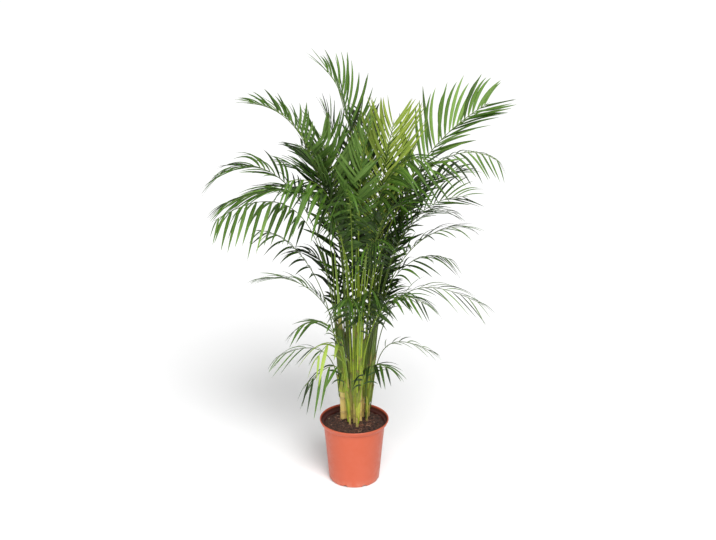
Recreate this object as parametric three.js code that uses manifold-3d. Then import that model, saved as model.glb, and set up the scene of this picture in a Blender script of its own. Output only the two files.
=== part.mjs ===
// A clump of areca palm growing in a round plastic nursery pot.
// Millimetres, +Z up. The origin is the centre of the pot's foot, where it stands.
// Azimuths are in degrees round +Z from +X; the palm's best side faces -Y.
import * as THREE from "three";
import { mergeVertices } from "three/addons/utils/BufferGeometryUtils.js";
import Module from "manifold-3d";

const wasm = await Module();
wasm.setup();

// ---- driving dimensions ----
const POT_HEIGHT = 200;
const RIM_RADIUS = 105; // outside of the rolled rim
const BODY_RADIUS = 93; // outside of the wall just under the rim
const FOOT_RADIUS = 77; // outside of the wall at the foot
const WALL = 2;
const FLOOR = 3;
const RIM_HEIGHT = 17;
const DRAIN_SLOTS = 8;
const SLOT_WIDTH = 18;
const SLOT_HEIGHT = 7; // the slots open through the wall just over the floor
const FIRST_SLOT = 24; // azimuth
const SLOT_CUT = 24; // radial length of the cut, which clears the wall on both sides
const POT_SIDES = 40;

const SOIL_TOP = 184;
const SOIL_LUMP = 2.5; // how far the surface rises and falls
const SOIL_SIDES = 28;
const FIT_GAP = 0.5; // between pieces that touch in the real plant

const CANE_FOOT = 136; // the canes' buried ends, in holes in the soil
const FIRST_SCAR = 24; // height of the lowest leaf scar over the soil
const SCAR_STEP = 46; // from one leaf scar to the next up a cane
const LAST_SCAR = 50; // scars show this far above where the sheaths start
const SCAR_RISE = 1.2;

const STALK_GAP = 4.6; // from the side of a cane to the middle of a leaf stalk's foot
const RIB_SHARE = 0.92; // the rib ends this far along a frond; the last leaflets reach the tip
const RIB_END = 1.8; // width of a rib where it ends
const LEAFLET_THICK = 1.6; // height of a leaflet's ridge over its flat underside
const LEAFLET_STEP = 34; // from one pair of leaflets to the next along a rib
const FEWEST_PAIRS = 5;
const LEAFLET_ROOT = 8; // how much of the rib one leaflet's root takes
const LEAFLET_WIDTH = 13; // of the longest leaflets
const WIDEST = 0.4; // share of a leaflet's length at which it is widest
const CLEARANCE = 0.8; // leaflets keep at least this far from what they pass

// Each cane: where it leaves the soil, its radius there, how high its last sheath reaches, how far
// its top leans from its foot, the length of its unopened spear leaf, and its fronds.
// Each frond: the height where it leaves the cane, its azimuth, how far round the cane from that
// azimuth its stalk is set, the reach of its tip out from the cane, the share of that reach at
// which it is drawn up to its arch, the height of the arch, the height of its tip, its roll about
// its own rib, how much its leaflets hang (from 0 for held up to 1 for hanging, and more for combs
// that hang straight down), the angle of its lowest leaflets to the rib, their length against the
// usual, and the share of the frond that is bare stalk.
const canes = [
  { at: [-31, 30], radius: 11.5, top: 520, lean: [-12, 4], spear: 230, fronds: [
    [480, 182, 0, 325, 0.34, 1190, 1165, 25, 0.1, 66, 0.7, 0.5],
    [435, 172, -20, 405, 0.65, 1080, 890, 0, 0.5, 52, 0.8, 0.56],
    [390, 192, 10, 422, 0.37, 995, 808, -15, 1.6, 76, 0.5, 0.6],
    [350, 188, -20, 290, 0.85, 855, 775, -20, 1.2, 50, 0.55, 0.56],
    [305, 190, 0, 225, 0.44, 460, 390, 0, 0.9, 48, 0.9, 0.45],
  ] },
  { at: [-13, -10], radius: 3.6, top: 340, lean: [-8, -8], spear: 150, fronds: [
    [305, 205, 0, 190, 0.46, 590, 510, 15, 0.9, 50, 0.85, 0.42],
    [270, 225, 20, 150, 0.42, 530, 420, 0, 1.3, 44, 0.9, 0.42],
    [240, 205, -35, 165, 0.2, 435, 325, 0, 1.4, 60, 0.9, 0.32],
  ] },
  { at: [9, -26], radius: 4.5, top: 420, lean: [6, -14], spear: 200, fronds: [
    [390, 318, 0, 250, 0.5, 980, 900, 10, 0.5, 48, 0.75, 0.58],
    [350, 290, -40, 230, 0.4, 865, 830, 20, 1.3, 60, 0.7, 0.64],
    [295, 320, 20, 285, 0.59, 705, 625, 0, 0.8, 44, 0.8, 0.42],
    [245, 310, 0, 165, 0.49, 445, 420, 0, 1, 50, 1, 0.33],
  ] },
  { at: [1, 1], radius: 5, top: 500, lean: [2, -10], spear: 260, fronds: [
    [460, 300, 25, 130, 0.25, 1150, 1130, 30, 0.1, 34, 0.85, 0.5],
    [420, 335, 25, 280, 0.47, 1100, 1010, 30, 1.1, 56, 0.7, 0.56],
    [370, 262, -20, 230, 0.3, 1000, 965, 0, 1.5, 74, 0.66, 0.68],
    [325, 212, -40, 290, 0.2, 1030, 965, -15, 1.6, 74, 0.62, 0.66],
    [280, 256, 34, 135, 0.3, 668, 600, 0, 1.6, 70, 0.72, 0.66],
  ] },
  { at: [25, 36], radius: 5.5, top: 480, lean: [14, 6], spear: 240, fronds: [
    [440, 5, 0, 415, 0.67, 1130, 1190, 30, 0.05, 62, 1.05, 0.48],
    [395, 20, 20, 370, 0.7, 990, 930, 0, 0.3, 58, 0.8, 0.5],
    [335, 8, -40, 305, 0.57, 765, 655, 0, 0.9, 58, 0.7, 0.48],
    [280, 30, -25, 155, 0.54, 620, 585, 0, 0.5, 46, 0.9, 0.55],
  ] },
  { at: [44, 44], radius: 3.4, top: 390, lean: [14, 2], spear: 170, fronds: [
    [355, 8, -40, 295, 0.53, 910, 795, 0, 0.5, 60, 0.6, 0.52],
    [305, 345, 40, 380, 0.35, 695, 565, 0, 0.6, 52, 0.75, 0.45],
    [262, 8, -20, 235, 0.25, 480, 360, 0, 0.5, 48, 0.55, 0.45],
  ] },
  { at: [38, 17], radius: 3.6, top: 410, lean: [16, -8], spear: 190, fronds: [
    [375, 345, 40, 340, 0.6, 865, 820, -10, 0.5, 60, 0.75, 0.5],
    [335, 350, 60, 340, 0.49, 945, 905, 20, 0.2, 60, 0.85, 0.52],
    [285, 318, 0, 180, 0.4, 660, 610, 0, 0.6, 46, 0.8, 0.55],
    [240, 275, -30, 140, 0.35, 690, 630, 0, 1.6, 70, 0.72, 0.66],
  ] },
  { at: [-7, 30], radius: 4.6, top: 500, lean: [-6, 2], spear: 260, fronds: [
    [460, 205, 60, 105, 0.76, 1010, 1145, 20, 0.15, 58, 1.35, 0.44],
    [415, 188, -60, 155, 0.45, 975, 1040, 10, 0.3, 58, 1.25, 0.46],
    [365, 190, 0, 245, 0.2, 975, 1015, 0, 0.3, 46, 0.85, 0.52],
  ] },
  { at: [18, 10], radius: 5.5, top: 520, lean: [8, 2], spear: 280, fronds: [
    [485, 140, 0, 210, 0.2, 1250, 1265, 20, 0.05, 43, 1, 0.5],
    [440, 355, 0, 435, 0.74, 1150, 950, 30, 1.3, 60, 0.44, 0.5],
    [395, 200, 0, 468, 0.25, 1020, 898, 10, 0.5, 42, 0.8, 0.5],
  ] },
  { at: [-15, 64], radius: 5.2, top: 470, lean: [-8, 12], spear: 230, fronds: [
    [430, 165, 0, 120, 0.16, 1140, 1160, 10, 0.2, 60, 1, 0.5],
    [380, 128, -20, 300, 0.3, 975, 1000, 0, 0.3, 50, 1, 0.2],
    [330, 190, 15, 305, 0.62, 680, 630, 15, 0.4, 42, 0.75, 0.5],
    [285, 148, -18, 230, 0.45, 740, 660, 0, 0.5, 36, 0.9, 0.28],
  ] },
  { at: [38, 68], radius: 5.5, top: 490, lean: [22, 4], spear: 250, fronds: [
    [450, 315, -40, 95, 0.7, 1045, 1180, -45, 0, 44, 1.2, 0.42],
    [405, 100, 0, 215, 0.4, 1110, 1110, 0, 0.3, 50, 1, 0.18],
    [355, 50, -40, 340, 0.42, 890, 885, 0, 0.4, 50, 0.95, 0.3],
    [310, 75, 20, 300, 0.5, 740, 680, 0, 0.5, 36, 0.85, 0.28],
  ] },
];
const YOUNG_FROND = "frond_11_1"; // the newest leaf to open, still light green

// ---- small helpers ----
const { degToRad: rad, lerp: mix, smoothstep } = THREE.MathUtils;

// A seeded draw in -1 to 1, the same on every run.
let seed = 20;
function draw() {
  seed = (seed * 1664525 + 1013904223) % 4294967296;
  return (seed / 4294967296) * 2 - 1;
}

// The level direction of an azimuth.
const heading = (azimuth) => new THREE.Vector3(Math.cos(rad(azimuth)), Math.sin(rad(azimuth)), 0);

// A point moved along one direction after another.
function moved(point, ...moves) {
  const end = point.clone();
  for (const [direction, distance] of moves) end.addScaledVector(direction, distance);
  return end;
}

function meshOf(name, geometry, color, roughness) {
  const material = new THREE.MeshStandardMaterial({ color, roughness, metalness: 0 });
  const mesh = new THREE.Mesh(geometry, material);
  mesh.name = name;
  return mesh;
}

function solidOf(geometry) {
  const bare = geometry.clone().deleteAttribute("normal").deleteAttribute("uv");
  const { index, attributes: { position } } = mergeVertices(bare, 1e-4);
  const [triVerts, vertProperties] = [new Uint32Array(index.array), new Float32Array(position.array)];
  return new wasm.Manifold(new wasm.Mesh({ numProp: 3, vertProperties, triVerts }));
}

function geometryOf(solid) {
  const { vertProperties, triVerts } = solid.getMesh();
  const geometry = new THREE.BufferGeometry();
  geometry.setAttribute("position", new THREE.BufferAttribute(vertProperties, 3));
  return geometry.setIndex(new THREE.BufferAttribute(triVerts, 1));
}

// A profile of [radius, height] points turned round +Z.
function turned(profile, sides) {
  const points = profile.map(([radius, height]) => new THREE.Vector2(radius, height));
  return new THREE.LatheGeometry(points, sides).rotateX(Math.PI / 2);
}

// ---- pot ----
const RIM_FOOT = POT_HEIGHT - RIM_HEIGHT;
const wallOutside = (height) => mix(FOOT_RADIUS, BODY_RADIUS, height / RIM_FOOT);
const wallInside = (height) => wallOutside(height) - WALL;

function pot() {
  const profile = [
    [0, 0],
    [FOOT_RADIUS - 4, 0],
    [wallOutside(4), 4],
    [BODY_RADIUS, RIM_FOOT],
    [RIM_RADIUS - 4, RIM_FOOT + 4],
    [RIM_RADIUS - 1, POT_HEIGHT - 6],
    [RIM_RADIUS, POT_HEIGHT - 1.5],
    [RIM_RADIUS - 1.5, POT_HEIGHT],
    [RIM_RADIUS - 3.5, POT_HEIGHT - 1],
    [RIM_RADIUS - 6, RIM_FOOT + 6],
    [wallInside(RIM_FOOT), RIM_FOOT + 1],
    [wallInside(FLOOR), FLOOR],
    [0, FLOOR],
  ];
  let shell = solidOf(turned(profile, POT_SIDES));
  for (let k = 0; k < DRAIN_SLOTS; k++) {
    const slot = new THREE.BoxGeometry(SLOT_CUT, SLOT_WIDTH, 2 * SLOT_HEIGHT).translate(FOOT_RADIUS, 0, 0);
    shell = shell.subtract(solidOf(slot.rotateZ(rad(FIRST_SLOT + (360 * k) / DRAIN_SLOTS))));
  }
  return meshOf("pot", geometryOf(shell), 0xd9694a, 0.55);
}

// ---- canes ----
// The unopened spear leaf: heights up it as shares of its length, and its width there as a share
// of the sheath's.
const SPEAR = [[0, 1], [0.35, 0.62], [0.7, 0.45], [1, 0]];

const isThick = (cane) => cane.radius > 5;
const caneSides = (cane) => (isThick(cane) ? 8 : 6);
const sheathStart = (cane) => mix(SOIL_TOP, cane.top, 0.3);
const sheathRadius = (cane) => Math.min(0.3 * cane.radius + 2.4, cane.radius);

function caneRadius(cane, height) {
  const share = (height - sheathStart(cane)) / (cane.top - sheathStart(cane));
  return mix(cane.radius, sheathRadius(cane), THREE.MathUtils.clamp(share, 0, 1));
}

// The axis of a cane at a height: upright at the soil and leaning more and more above it.
function caneAxis(cane, height) {
  const share = Math.max(height - SOIL_TOP, 0) / (cane.top - SOIL_TOP);
  const lean = 0.35 * share + 0.65 * share * share;
  return new THREE.Vector3(cane.at[0] + cane.lean[0] * lean, cane.at[1] + cane.lean[1] * lean, height);
}

function caneGeometry(cane) {
  const profile = [[0, CANE_FOOT], [cane.radius, CANE_FOOT], [cane.radius, SOIL_TOP + 8]];
  const lastScar = isThick(cane) ? sheathStart(cane) + LAST_SCAR : 0;
  for (let z = SOIL_TOP + FIRST_SCAR; z < lastScar; z += SCAR_STEP) {
    const radius = caneRadius(cane, z);
    profile.push([radius, z - 3], [radius + SCAR_RISE, z], [radius - 0.2, z + 5]);
  }
  if (!isThick(cane)) profile.push([cane.radius, sheathStart(cane)]);
  const narrowing = mix(sheathStart(cane), cane.top, 0.72);
  profile.push([mix(cane.radius, sheathRadius(cane), 0.6), narrowing]);
  for (const [share, width] of SPEAR) {
    profile.push([sheathRadius(cane) * width, cane.top + share * cane.spear]);
  }
  const geometry = turned(profile, caneSides(cane));
  const { position } = geometry.attributes;
  for (let k = 0; k < position.count; k++) {
    const axis = caneAxis(cane, position.getZ(k));
    position.setXY(k, position.getX(k) + axis.x, position.getY(k) + axis.y);
  }
  return geometry;
}

// ---- soil, with a plain hole for each cane ----
function soil() {
  const low = FLOOR + FIT_GAP;
  const rings = [0.86, 0.66, 0.42, 0.18];
  const reach = (height) => wallInside(height) * Math.cos(Math.PI / POT_SIDES) - FIT_GAP;
  const edge = reach(SOIL_TOP - 3);
  const level = rings.map((share) => [edge * share, SOIL_TOP]);
  const profile = [[0, low], [reach(low), low], [edge, SOIL_TOP - 3], ...level, [0, SOIL_TOP]];
  const geometry = turned(profile, SOIL_SIDES);
  const { position } = geometry.attributes;
  for (let k = 0; k < position.count; k++) {
    const [x, y, z] = [position.getX(k), position.getY(k), position.getZ(k)];
    const lump = Math.sin(x * 0.11 + y * 0.05) * Math.cos(y * 0.13 - x * 0.04);
    if (z > SOIL_TOP - 1) position.setZ(k, z + SOIL_LUMP * lump);
  }
  let solid = solidOf(geometry);
  for (const cane of canes) {
    const [radius, foot, mouth] = [cane.radius + FIT_GAP, CANE_FOOT - FIT_GAP, SOIL_TOP + 10];
    const hole = turned([[0, foot], [radius, foot], [radius, mouth], [0, mouth]], caneSides(cane));
    solid = solid.subtract(solidOf(hole.translate(cane.at[0], cane.at[1], 0)));
  }
  return meshOf("soil", geometryOf(solid), 0x3a2720, 0.95);
}

// ---- what is already in place, so that new leaflets can be bent clear of it ----
const inPlace = [];

// Faces are triples of indices into the points. Leaflets of one pair share a pair number.
function obstacle(points, faces, owner, pair) {
  const corners = faces.map((face) => face.map((k) => points[k]));
  return { box: new THREE.Box3().setFromPoints(points), faces: corners, owner, pair };
}

// A leaflet touches its own rib, and at its root its twin across the rib.
const joined = (leaf, other) => leaf.owner === other.owner && (!other.pair || leaf.pair === other.pair);

const ray = new THREE.Ray();
const hit = new THREE.Vector3();

function edgesPierce(edgesOf, facesOf) {
  for (const [a, b, c] of edgesOf.faces) {
    for (const [from, to] of [[a, b], [b, c], [c, a]]) {
      const length = from.distanceTo(to);
      ray.set(from, ray.direction.copy(to).sub(from).divideScalar(length));
      for (const [p, q, r] of facesOf.faces) {
        if (ray.intersectTriangle(p, q, r, false, hit) && hit.distanceTo(from) <= length) return true;
      }
    }
  }
  return false;
}

function isClear(body) {
  return !inPlace.some((other) => other.box.intersectsBox(body.box) && !joined(body, other)
    && (edgesPierce(body, other) || edgesPierce(other, body)));
}

// ---- ribs ----
// The line of a frond: it leaves the cane upright, is drawn up and out to the arch, and ends at
// the tip of the last leaflets.
function frondLine(cane, [leaves, azimuth, aside, reach, bendShare, arch, tip]) {
  const start = caneAxis(cane, leaves);
  const out = heading(azimuth);
  const base = moved(start, [heading(azimuth + aside), caneRadius(cane, leaves) + STALK_GAP]);
  const shoulder = moved(base, [out, 0.06 * reach]).setZ(mix(leaves, arch, 0.8));
  const bend = moved(start, [out, bendShare * reach]).setZ(arch);
  return new THREE.CubicBezierCurve3(base, shoulder, bend, moved(start, [out, reach]).setZ(tip));
}

// The rib's section at a share of its length: left and right edges on top, and the keel below.
function ribSection(frond, ribShare) {
  const forward = frond.line.getTangentAt(ribShare * RIB_SHARE);
  const centre = frond.line.getPointAt(ribShare * RIB_SHARE);
  const roll = rad(frond.roll * smoothstep(ribShare, 0.1, 0.9));
  const side = heading(frond.azimuth + 90).applyAxisAngle(forward, roll).normalize();
  const up = forward.clone().cross(side).normalize();
  const width = mix(frond.thick, RIB_END, ribShare ** 0.8);
  const corner = (across, above) => moved(centre, [side, across * width], [up, above * width]);
  const [left, right, keel] = [corner(0.5, 0.25), corner(-0.5, 0.25), corner(0, -0.5)];
  return { centre, forward, side, up, left, right, keel };
}

// Where a rib is divided: evenly up the bare stalk, then before and after each pair of leaflets,
// which are placed by u from 0 at the foot of the blade to 1 at its tip.
function ribStops(length, bare) {
  const pairs = Math.max(FEWEST_PAIRS, Math.round((length * (1 - bare)) / LEAFLET_STEP));
  const root = LEAFLET_ROOT / length;
  const stops = [0, 0.2, 0.4, 0.6, 0.8].map((share) => ({ share: share * bare }));
  for (let k = 0; k < pairs; k++) {
    const u = k / (pairs - 1);
    const share = mix(bare, 1 - 2 * root, u);
    stops.push({ share, u }, { share: share + root * mix(1, 0.6, u) });
  }
  return stops;
}

const ribEnd = (frond) => frond.line.getPointAt(RIB_SHARE + 0.01);

function frondOf(cane, row, name) {
  const [, azimuth, , , , arch, , roll, hang, spread, leafShare, bare] = row;
  const line = frondLine(cane, row);
  const length = line.getLength() * RIB_SHARE;
  const frond = { name, line, azimuth, roll, hang, spread, thick: 3.9 + 0.0016 * arch };
  frond.leaf = leafShare * Math.min(58 + 0.17 * length, 185);
  frond.droop = 0.12 + 0.45 * hang;
  frond.stops = ribStops(length, bare);
  frond.sections = frond.stops.map((stop) => ribSection(frond, stop.share));
  return frond;
}

function ribObstacle(frond) {
  const points = [];
  const faces = [];
  frond.sections.forEach(({ centre, left, right, keel }, k) => {
    for (const corner of [left, keel, right]) {
      points.push(moved(corner, [corner.clone().sub(centre).normalize(), CLEARANCE]));
    }
    for (let j = 0; k > 0 && j < 3; j++) {
      const [a, b] = [3 * k + j, 3 * k + ((j + 1) % 3)];
      faces.push([a, b, b - 3], [a, b - 3, a - 3]);
    }
  });
  const end = points.push(ribEnd(frond)) - 1;
  faces.push([end - 3, end - 2, end], [end - 2, end - 1, end], [end - 1, end - 3, end]);
  return obstacle(points, faces, frond);
}

// ---- leaflets ----
// Their length against the longest: short at the foot of the blade and shorter at its tip.
const lengthShare = (u) => 0.62 + 1.7 * u - 1.85 * u * u;

// One leaflet, on the left of the rib (hand 1) or on its right (hand -1). It is set at an angle
// to the rib (sweep) and out of the blade's plane (lift), and droops towards its tip.
function leaflet(frond, { centre, forward, side, up }, u, hand, length, bend) {
  const sweep = rad(mix(1, 0.45, u) * frond.spread + bend.sweep);
  const lift = rad(mix(38, 20, u) - 35 * frond.hang + bend.lift);
  const direction = moved(new THREE.Vector3(), [forward, Math.cos(sweep)],
    [side, hand * Math.sin(sweep) * Math.cos(lift)], [up, Math.sin(sweep) * Math.sin(lift)]);
  const along = moved(forward, [direction, -forward.dot(direction)]).normalize();
  const ridge = along.clone().cross(direction).multiplyScalar(hand);
  const down = new THREE.Vector3(0, 0, -1);
  const at = (share) => moved(centre, [direction, length * share], [down, frond.droop * length * share ** 2]);
  return { at, along, ridge, half: (LEAFLET_WIDTH / 2) * Math.min(1, 0.0057 * length + 0.19) };
}

// A leaflet's section where it is widest, and its tip. The spare makes it larger all round.
function leafletPoints({ at, along, ridge, half }, spare) {
  const centre = at(WIDEST);
  return [
    moved(centre, [along, -half - spare], [ridge, -spare]),
    moved(centre, [along, half + spare], [ridge, -spare]),
    moved(centre, [ridge, LEAFLET_THICK + spare]),
    at(spare ? 1.01 : 1),
  ];
}

// A leaflet's faces, from the corners of the rib's side that it grows out of to its tip.
function leafletFaces([near, far, keelNear, keelFar], [lower, upper, ridge, tip], hand) {
  const faces = [
    [near, far, ridge], [keelNear, near, ridge], [keelNear, ridge, lower], [far, keelFar, upper],
    [far, upper, ridge], [keelNear, lower, upper], [keelNear, upper, keelFar],
    [lower, ridge, tip], [ridge, upper, tip], [upper, lower, tip],
  ];
  return hand > 0 ? faces : faces.map(([a, b, c]) => [a, c, b]);
}

// Small turns of lift and sweep that a leaflet is tried at, in order.
const BENDS = [[0, 0], [10, 0], [-12, 0], [0, 9], [0, -8], [20, 6], [-22, 6], [28, -6], [-32, 0], [38, 8]];

// A leaflet bent clear of all that is in place, or null where there is no room for it.
function clearLeaflet(frond, k, hand) {
  const [section, next, { u }] = [frond.sections[k], frond.sections[k + 1], frond.stops[k]];
  const root = hand > 0 ? [section.left, next.left] : [section.right, next.right];
  const middle = section.centre.clone().lerp(next.centre, 0.5);
  const foot = [...root, section.keel, next.keel].map((corner) => {
    return moved(corner, [corner.clone().sub(middle).normalize(), CLEARANCE / 2]);
  });
  const full = frond.leaf * lengthShare(u) * (1 + 0.07 * draw());
  for (const length of [full, 0.8 * full, 0.6 * full]) {
    for (const [lift, sweep] of BENDS) {
      const blade = leaflet(frond, section, u, hand, length, { lift, sweep });
      const points = [...foot, ...leafletPoints(blade, CLEARANCE)];
      const body = obstacle(points, leafletFaces([0, 1, 2, 3], [4, 5, 6, 7], hand), frond, k);
      if (isClear(body)) {
        inPlace.push(body);
        return blade;
      }
    }
  }
  return null;
}

// ---- fronds ----
// One closed body: the rib's faces, with each leaflet drawn out of the rib's side where it grows.
function frondGeometry(frond) {
  const points = frond.sections.flatMap(({ left, right, keel }) => [left, right, keel]);
  const faces = [[0, 2, 1]];
  const quad = (a, b, c, d) => faces.push([a, b, c], [a, c, d]);
  frond.stops.slice(0, -1).forEach((stop, k) => {
    const [left, right, keel] = [3 * k, 3 * k + 1, 3 * k + 2];
    quad(left, right, right + 3, left + 3);
    for (const hand of [1, -1]) {
      const blade = "u" in stop && clearLeaflet(frond, k, hand);
      const near = hand > 0 ? left : right;
      if (blade) {
        const tip = points.push(...leafletPoints(blade, 0)) - 1;
        const ring = [tip - 3, tip - 2, tip - 1, tip];
        faces.push(...leafletFaces([near, near + 3, keel, keel + 3], ring, hand));
      } else if (hand > 0) {
        quad(left, left + 3, keel + 3, keel);
      } else {
        quad(right, keel, keel + 3, right + 3);
      }
    }
  });
  const [left, right, keel] = [3, 2, 1].map((back) => 3 * frond.stops.length - back);
  const end = points.push(ribEnd(frond)) - 1;
  faces.push([left, right, end], [right, keel, end], [keel, left, end]);
  return new THREE.BufferGeometry().setFromPoints(points).setIndex(faces.flat());
}

// ---- the whole plant ----
const palm = new THREE.Group();
palm.add(pot(), soil());

canes.forEach((cane, k) => {
  const geometry = caneGeometry(cane);
  const { index, attributes: { position } } = geometry;
  palm.add(meshOf(`cane_${k + 1}`, geometry, isThick(cane) ? 0xb9a95a : 0x8f9a45, 0.5));
  const points = [];
  const faces = [];
  for (let j = 0; j < position.count; j++) {
    points.push(new THREE.Vector3().fromBufferAttribute(position, j));
  }
  for (let j = 0; j < index.count; j += 3) faces.push([0, 1, 2].map((c) => index.getX(j + c)));
  inPlace.push(obstacle(points, faces, cane));
});

const fronds = canes.flatMap((cane, k) => cane.fronds.map((row, j) => {
  return frondOf(cane, row, `frond_${k + 1}_${j + 1}`);
}));
inPlace.push(...fronds.map(ribObstacle));
for (const frond of fronds) {
  const color = frond.name === YOUNG_FROND ? 0x86a93a : 0x3f6b2c;
  palm.add(meshOf(frond.name, frondGeometry(frond), color, 0.6));
}

export default palm;
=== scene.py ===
# A clump of areca palm in a terracotta-coloured plastic nursery pot.
import math

import bpy
import numpy as np
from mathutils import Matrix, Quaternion, Vector, noise


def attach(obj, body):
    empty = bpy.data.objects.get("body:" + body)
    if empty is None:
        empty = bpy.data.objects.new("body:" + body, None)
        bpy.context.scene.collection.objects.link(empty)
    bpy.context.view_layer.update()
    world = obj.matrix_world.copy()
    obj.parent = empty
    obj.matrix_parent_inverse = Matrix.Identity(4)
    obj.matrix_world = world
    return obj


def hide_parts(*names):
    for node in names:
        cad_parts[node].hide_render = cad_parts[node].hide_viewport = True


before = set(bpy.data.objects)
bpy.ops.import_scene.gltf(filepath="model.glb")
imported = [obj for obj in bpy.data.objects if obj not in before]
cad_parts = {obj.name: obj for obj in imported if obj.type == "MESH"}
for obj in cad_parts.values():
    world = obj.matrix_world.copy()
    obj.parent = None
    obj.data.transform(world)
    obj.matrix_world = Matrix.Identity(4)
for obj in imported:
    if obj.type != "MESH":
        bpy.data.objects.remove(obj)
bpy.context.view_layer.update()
mm = 0.001
print("frame loaded")


def clearSelection():
    if bpy.context.object and bpy.context.object.mode != "OBJECT":
        bpy.ops.object.mode_set(mode="OBJECT")
    bpy.ops.object.select_all(action="DESELECT")


def makeActive(obj):
    clearSelection()
    obj.select_set(True)
    bpy.context.view_layer.objects.active = obj


def pick(obj, test):
    # leaves the object in edit mode with only the vertices that pass the test selected
    bpy.ops.object.mode_set(mode="OBJECT")
    for kind in (obj.data.polygons, obj.data.edges):
        kind.foreach_set("select", [False] * len(kind))
    obj.data.vertices.foreach_set("select", [bool(test(v.co)) for v in obj.data.vertices])
    bpy.ops.object.mode_set(mode="EDIT")
    bpy.ops.mesh.select_mode(type="VERT")


def applyModifier(obj, kind, **settings):
    makeActive(obj)
    modifier = obj.modifiers.new(kind.title(), kind)
    for key, value in settings.items():
        setattr(modifier, key, value)
    bpy.ops.object.modifier_apply(modifier=modifier.name)


def places(obj):
    flat = np.empty(len(obj.data.vertices) * 3)
    obj.data.vertices.foreach_get("co", flat)
    return flat.reshape(-1, 3)


def moveTo(obj, points):
    obj.data.vertices.foreach_set("co", np.asarray(points, float).ravel())
    obj.data.update()


def paint(obj, name, values):
    # a number for each vertex, which the materials read
    attribute = obj.data.attributes.get(name) or obj.data.attributes.new(name, "FLOAT", "POINT")
    attribute.data.foreach_set("value", np.broadcast_to(values, len(obj.data.vertices)).astype(float))


def copyOf(obj, points):
    twin = obj.copy()
    twin.data = obj.data.copy()
    bpy.context.collection.objects.link(twin)
    moveTo(twin, points)
    return twin


def joinAll(objects, name):
    makeActive(objects[0])
    for obj in objects:
        obj.select_set(True)
    if len(objects) > 1:
        bpy.ops.object.join()
    objects[0].name = objects[0].data.name = name
    return objects[0]


def editAll():
    bpy.ops.object.mode_set(mode="EDIT")
    bpy.ops.mesh.select_all(action="SELECT")


def makeOutward(obj):
    makeActive(obj)
    editAll()
    bpy.ops.mesh.normals_make_consistent(inside=False)
    bpy.ops.object.mode_set(mode="OBJECT")


def smoothed(obj, angle=50):
    makeActive(obj)
    bpy.ops.object.shade_smooth_by_angle(angle=math.radians(angle))
    return obj


def finishPiece(obj, slotName, *nodes):
    # a piece without nodes is one that only the scene has
    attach(obj, "root")
    if nodes:
        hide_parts(*nodes)


def turnedTube(name, sides, profile, openEnds=False):
    # a ring drawn up through a profile of radii and heights
    clearSelection()
    radius, height = profile[0]
    bpy.ops.mesh.primitive_circle_add(vertices=sides, radius=radius, location=(0, 0, height),
                                      fill_type="NOTHING" if openEnds else "NGON")
    obj = bpy.context.object
    obj.name = obj.data.name = name
    bpy.ops.object.transform_apply(location=True)
    editAll()
    for nextRadius, nextHeight in profile[1:]:
        bpy.ops.mesh.extrude_region_move(TRANSFORM_OT_translate={"value": (0, 0, nextHeight - height)})
        grow = nextRadius / radius
        bpy.ops.transform.resize(value=(grow, grow, 1), center_override=(0, 0, nextHeight))
        radius, height = nextRadius, nextHeight
    makeOutward(obj)
    return obj


def mix(a, b, share):
    return a + (b - a) * share


def smoothStep(x, low, high):
    t = min(max((x - low) / (high - low), 0), 1)
    return t * t * (3 - 2 * t)


def heading(azimuth):
    return Vector((math.cos(math.radians(azimuth)), math.sin(math.radians(azimuth)), 0))


cameraSettings = {"at": (0.0115, -3.3, 1.88), "pitch": 70, "sensor": 36, "focalPixels": 1206,
                  "imageWidth": 716}

clearSelection()
bpy.ops.object.camera_add(location=cameraSettings["at"],
                          rotation=(math.radians(cameraSettings["pitch"]), 0, 0))
camera = bpy.context.object
camera.data.sensor_width = cameraSettings["sensor"]
camera.data.lens = cameraSettings["sensor"] * cameraSettings["focalPixels"] / cameraSettings["imageWidth"]
bpy.context.scene.camera = camera
print("camera set")

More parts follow.
